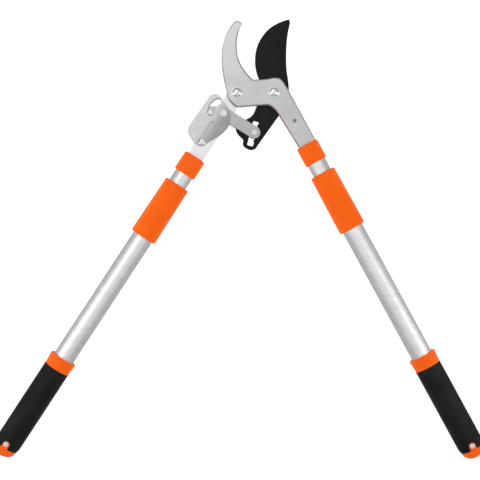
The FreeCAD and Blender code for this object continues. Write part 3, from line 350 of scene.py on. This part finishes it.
def moulded_plastic(name, base, turn, gloss=0.34):
    """Moulded plastic: fine spark texture, slight colour depth and handling scuffs."""
    made = Finish(name, Specular_IOR_Level=0.08, Coat_Roughness=0.3)
    spark = made.noise(made.place(), 1900.0, 2.0)
    depth = made.noise(made.place(), 30.0, 3.0)
    scuffs = made.noise(made.place(turn + 0.4, (110.0, 1300.0, 700.0)), 1.0, 3.0)
    scuff = made.ramp(scuffs, 0.62, 0.78)
    body = made.mix(made.ramp(depth, 0.3, 0.7), tone(base, 0.95), tone(base, 1.05))
    made.feed("Base Color", made.mix(scuff * 0.10, body, tone(base, 1.5)))
    made.feed("Roughness", gloss + made.ramp(depth, 0.3, 0.7) * 0.08 + scuff * 0.12)
    made.feed("Coat Weight", 0.02 - scuff * 0.02)
    made.bump(spark + scuffs * 0.2, 0.00003, 0.4)
    return made.material


def rubber_grip(name, base, turn):
    """Black rubber with a fine leathery grain that catches a soft sheen."""
    made = Finish(name, Specular_IOR_Level=0.16)
    cells = made.node("ShaderNodeTexVoronoi", {"feature": "F1"}, {
        "Vector": made.place(turn, (650.0, 900.0, 900.0)), "Scale": 1.0, "Randomness": 1.0,
    })
    pores = made.noise(made.place(), 2600.0, 2.0)
    palm = made.noise(made.place(turn, (14.0, 45.0, 45.0)), 1.0, 4.0)
    worn = made.ramp(palm, 0.35, 0.72)
    body = made.mix(worn, tone(base, 0.9), tone(base, 1.7))
    grain = made.ramp(cells, 0.2, 0.7) * 0.4
    made.feed("Base Color", made.mix(grain, body, tone(base, 0.55)))
    made.feed("Roughness", 0.58 - worn * 0.12 + (pores - 0.5) * 0.10)
    made.bump(1.0 - cells + pores * 0.3, 0.00009, 0.6)
    return made.material


def spring_wire(name, base):
    """Oiled spring steel with drawn streaks."""
    made = Finish(name, Metallic=1.0)
    oil = made.noise(made.place(), 500.0, 4.0)
    oily = made.ramp(oil, 0.35, 0.7)
    made.feed("Base Color", made.mix(oily, tone(base, 1.3), tone(base, 0.7)))
    made.feed("Roughness", 0.26 + oily * 0.16)
    made.bump(oil, 0.00001, 0.5)
    return made.material


# ---------------------------------------------------------------- pieces

def settings():
    return bpy.context.scene.loppers


def colours():
    return settings().colours


def middle_of(node):
    """The middle of a CAD node's box."""
    low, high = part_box(node)
    return (Vector(low) + Vector(high)) / 2


def body_of(node):
    for body, members in frame["record"]["behaviour"]["bodies"].items():
        if node in members:
            return body
    raise RuntimeError("no body holds the node " + node)


def slot_of(node):
    return NODES[node].data.materials[0].name


def show(node, material):
    """Keeps a CAD node and gives it a finish."""
    piece = NODES[node]
    for slot in piece.material_slots:
        slot.material = material


def handle_turn(side):
    """Angle from X to the way a handle runs, in the plane of the loppers."""
    along = JOINTS[side + "_extension_slide"]["axis"]
    return math.atan2(along[1], along[0])


def soften(mesh, width, segments=2, sharp=30.0):
    """Bevels every edge of a mesh that turns by more than sharp degrees."""
    limit = math.radians(sharp)
    edges = [
        edge for edge in mesh.edges
        if len(edge.link_faces) == 2 and edge.calc_face_angle(0.0) > limit
    ]
    bmesh.ops.bevel(
        mesh, geom=edges, offset=width, offset_type="OFFSET", affect="EDGES",
        segments=segments, profile=0.5, material=-1, clamp_overlap=True,
    )


def finished_piece(name, mesh, nodes, material):
    """Makes an object from a bmesh that stands for CAD nodes of one body."""
    data = bpy.data.meshes.new(name)
    for face in mesh.faces:
        face.smooth = True
    mesh.to_mesh(data)
    mesh.free()
    data.materials.append(material)
    piece = bpy.data.objects.new(name, data)
    bpy.context.scene.collection.objects.link(piece)
    weighted = piece.modifiers.new("even_shading", "WEIGHTED_NORMAL")
    weighted.weight = 100
    weighted.keep_sharp = True
    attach(piece, body_of(nodes[0]))
    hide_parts(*nodes)
    return piece


def merged_copy(node):
    """A bmesh of a CAD node with its loose triangles joined and its flats made whole."""
    mesh = bmesh.new()
    mesh.from_mesh(NODES[node].data)
    bmesh.ops.remove_doubles(mesh, verts=mesh.verts, dist=SAME_POINT)
    bmesh.ops.dissolve_limit(
        mesh, angle_limit=FLAT_WITHIN, verts=mesh.verts, edges=mesh.edges,
        use_dissolve_boundaries=False,
    )
    return mesh


def softened_plate(node, width, material, segments=2):
    """The CAD node's shape with every hard edge eased, as a dressed steel plate has."""
    mesh = merged_copy(node)
    soften(mesh, width, segments)
    return finished_piece(node + "_dressed", mesh, [node], material)


# ---------------------------------------------------------------- operators

class LOPPERS_OT_stage(bpy.types.Operator):
    """Lays the pale floor and sets the soft lights and the camera"""
    bl_idname = "loppers.stage"
    bl_label = "Stage"

    def execute(self, context):
        stage = settings().stage
        self.floor(stage)
        self.sky()
        self.lamp("overhead_light", (-0.55, 0.75, 1.5), 1.2, 1.0, stage.overhead_power)
        self.lamp("left_light", (-0.80, -0.05, 0.50), 0.35, 0.9, stage.side_power)
        self.lamp("right_light", (0.80, -0.05, 0.50), 0.35, 0.9, stage.side_power)
        self.camera(context, stage)
        return {"FINISHED"}

    def floor(self, stage):
        mesh = bmesh.new()
        bmesh.ops.create_grid(mesh, x_segments=2, y_segments=2, size=FLOOR_REACH)
        data = bpy.data.meshes.new("floor")
        mesh.to_mesh(data)
        mesh.free()
        floor = bpy.data.objects.new("floor", data)
        bpy.context.scene.collection.objects.link(floor)
        acrylic = Finish(
            "backlit_floor", Roughness=0.9, Specular_IOR_Level=0.05,
            Emission_Strength=stage.floor_glow,
        )
        cast = acrylic.noise(acrylic.place(), 12.0, 3.0)
        pale = acrylic.mix(cast, tone(stage.floor, 0.99), tone(stage.floor, 1.01))
        acrylic.feed("Base Color", pale)
        glow = acrylic.mix(cast, tone(WHITE, 0.99), tone(WHITE, 1.0))
        acrylic.feed("Emission Color", glow)
        data.materials.append(acrylic.material)
        floor.visible_glossy = False

    def sky(self):
        """Soft white overhead, darker towards the horizon, so that steel shows its edges."""
        world = bpy.data.worlds.new("studio")
        bpy.context.scene.world = world
        world.use_nodes = True
        tree = world.node_tree
        tree.nodes.clear()
        output = tree.nodes.new("ShaderNodeOutputWorld")
        light = tree.nodes.new("ShaderNodeBackground")
        where = tree.nodes.new("ShaderNodeTexCoord")
        parts = tree.nodes.new("ShaderNodeSeparateXYZ")
        shade = tree.nodes.new("ShaderNodeValToRGB")
        ramp = shade.color_ramp
        while len(ramp.elements) < len(SKY_LEVELS):
            ramp.elements.new(0.5)
        for element, (position, level) in zip(ramp.elements, SKY_LEVELS):
            element.position = position
            element.color = (level, level, level, 1.0)
        tree.links.new(where.outputs["Generated"], parts.inputs[0])
        tree.links.new(parts.outputs[2], shade.inputs[0])
        tree.links.new(shade.outputs[0], light.inputs[0])
        light.inputs[1].default_value = 1.0
        tree.links.new(light.outputs[0], output.inputs[0])

    def lamp(self, name, offset, width, depth, power):
        light = bpy.data.lights.new(name, "AREA")
        light.shape = "RECTANGLE"
        light.size = width
        light.size_y = depth
        light.energy = power
        lamp = bpy.data.objects.new(name, light)
        bpy.context.scene.collection.objects.link(lamp)
        lamp.location = offset
        lamp.rotation_euler = (-Vector(offset)).to_track_quat("-Z", "Y").to_euler()

    def camera(self, context, stage):
        lens = bpy.data.cameras.new("camera")
        lens.sensor_width = SENSOR_WIDTH
        lens.lens = stage.lens
        camera = bpy.data.objects.new("camera", lens)
        context.scene.collection.objects.link(camera)
        camera.location = HEAD_PIVOT + Vector(
            (stage.camera_across, -stage.camera_down, stage.camera_height)
        )
        context.scene.camera = camera
        context.scene.view_settings.view_transform = "Standard"
        context.scene.view_settings.look = "None"


class LOPPERS_OT_hook_plate(bpy.types.Operator):
    """Dresses the hook plate with its polished bevels"""
    bl_idname = "loppers.hook_plate"
    bl_label = "Hook plate"

    def execute(self, context):
        steel = satin_steel("hook_plate_steel", colours().forged_steel, 0.34, 1.30)
        softened_plate("hook_plate", settings().shape.plate_edge, steel)
        return {"FINISHED"}


class LOPPERS_OT_blade(bpy.types.Operator):
    """Dresses the coated cutting blade"""
    bl_idname = "loppers.blade"
    bl_label = "Blade"

    def execute(self, context):
        coat = coated_blade("blade_coating", colours().blade_coat)
        softened_plate("blade", settings().shape.plate_edge, coat)
        return {"FINISHED"}


class LOPPERS_OT_left_arm(bpy.types.Operator):
    """Dresses the bar that carries the left handle"""
    bl_idname = "loppers.left_arm"
    bl_label = "Left arm"

    def execute(self, context):
        steel = satin_steel("left_arm_steel", colours().arm_steel, 0.36, handle_turn("left"))
        softened_plate("left_arm", settings().shape.bar_edge, steel)
        return {"FINISHED"}


class LOPPERS_OT_link(bpy.types.Operator):
    """Dresses both plates of the ratchet link"""
    bl_idname = "loppers.link"
    bl_label = "Ratchet link"

    def execute(self, context):
        steel = satin_steel("link_plate_steel", colours().link_steel, 0.38, -0.56)
        for node in ("link_front", "link_rear"):
            softened_plate(node, settings().shape.plate_edge, steel)
        return {"FINISHED"}


class LOPPERS_OT_housing(bpy.types.Operator):
    """Dresses the two pressed shells round the ratchet"""
    bl_idname = "loppers.housing"
    bl_label = "Housing"

    def execute(self, context):
        sheet = pressed_steel(
            "housing_sheet", colours().pressed_steel, handle_turn("left"),
            middle_of("housing_front"),
        )
        for node in ("housing_front", "housing_rear"):
            softened_plate(node, settings().shape.pressed_edge, sheet, 4)
        return {"FINISHED"}


class LOPPERS_OT_fasteners(bpy.types.Operator):
    """Finishes the bolts, rivets, screws, washers and nuts"""
    bl_idname = "loppers.fasteners"
    bl_label = "Fasteners"

    def execute(self, context):
        for node in NODES:
            if slot_of(node) != "bright_fastener":
                continue
            base = colours().stop_pin if node == "stop_pin" else colours().fastener
            show(node, bright_steel(node + "_steel", base, middle_of(node)))
        return {"FINISHED"}


class LOPPERS_OT_spring(bpy.types.Operator):
    """Finishes the ratchet's return spring"""
    bl_idname = "loppers.spring"
    bl_label = "Spring"

    def execute(self, context):
        show("ratchet_spring", spring_wire("ratchet_spring_wire", colours().spring))
        return {"FINISHED"}


class LOPPERS_OT_tubes(bpy.types.Operator):
    """Finishes the telescoping tubes"""
    bl_idname = "loppers.tubes"
    bl_label = "Tubes"

    def execute(self, context):
        for side in SIDES:
            metal = drawn_tube(side + "_tube_metal", colours().tube, -handle_turn(side))
            show(side + "_inner_tube", metal)
            show(side + "_outer_tube", metal)
        return {"FINISHED"}


class LOPPERS_OT_orange_pieces(bpy.types.Operator):
    """Finishes the ferrules, lock sleeves, grip rings and end caps"""
    bl_idname = "loppers.orange_pieces"
    bl_label = "Orange pieces"

    def execute(self, context):
        for side in SIDES:
            plastic = moulded_plastic(
                side + "_orange_plastic", colours().orange, handle_turn(side)
            )
            for part in ("ferrule", "lock_sleeve", "grip_ring", "end_cap"):
                show(side + "_" + part, plastic)
        return {"FINISHED"}


class LOPPERS_OT_grips(bpy.types.Operator):
    """Finishes the rubber grips"""
    bl_idname = "loppers.grips"
    bl_label = "Grips"

    def execute(self, context):
        for side in SIDES:
            rubber = rubber_grip(side + "_rubber", colours().grip, -handle_turn(side))
            show(side + "_grip", rubber)
        return {"FINISHED"}


class LOPPERS_OT_inner_pieces(bpy.types.Operator):
    """Finishes the guide bushes and lock collets"""
    bl_idname = "loppers.inner_pieces"
    bl_label = "Bushes and collets"

    def execute(self, context):
        nylon = moulded_plastic("bush_nylon", colours().inner_plastic, 0.0, 0.5)
        for side in SIDES:
            show(side + "_guide_bush", nylon)
            show(side + "_lock_collet", nylon)
        return {"FINISHED"}


class LOPPERS_PT_panel(bpy.types.Panel):
    """Settings and steps of the loppers"""
    bl_idname = "LOPPERS_PT_panel"
    bl_label = "Loppers"
    bl_space_type = "VIEW_3D"
    bl_region_type = "UI"
    bl_category = "Loppers"

    def draw(self, context):
        for group in (settings().stage, settings().shape, settings().colours):
            box = self.layout.box()
            for name in group.__annotations__:
                box.prop(group, name)
        for step in STEPS:
            self.layout.operator(step.bl_idname)


STEPS = (
    LOPPERS_OT_stage,
    LOPPERS_OT_hook_plate,
    LOPPERS_OT_blade,
    LOPPERS_OT_left_arm,
    LOPPERS_OT_link,
    LOPPERS_OT_housing,
    LOPPERS_OT_fasteners,
    LOPPERS_OT_spring,
    LOPPERS_OT_tubes,
    LOPPERS_OT_orange_pieces,
    LOPPERS_OT_grips,
    LOPPERS_OT_inner_pieces,
)
GROUPS = (LoppersColours, LoppersShape, LoppersStage, LoppersSettings)
CLASSES = GROUPS + STEPS + (LOPPERS_PT_panel,)


def register():
    for cls in CLASSES:
        bpy.utils.register_class(cls)
    bpy.types.Scene.loppers = PointerProperty(type=LoppersSettings)


def unregister():
    del bpy.types.Scene.loppers
    for cls in reversed(CLASSES):
        bpy.utils.unregister_class(cls)


def main():
    register()
    for step in STEPS:
        group, name = step.bl_idname.split(".")
        getattr(getattr(bpy.ops, group), name)()


if __name__ == "__main__":
    main()
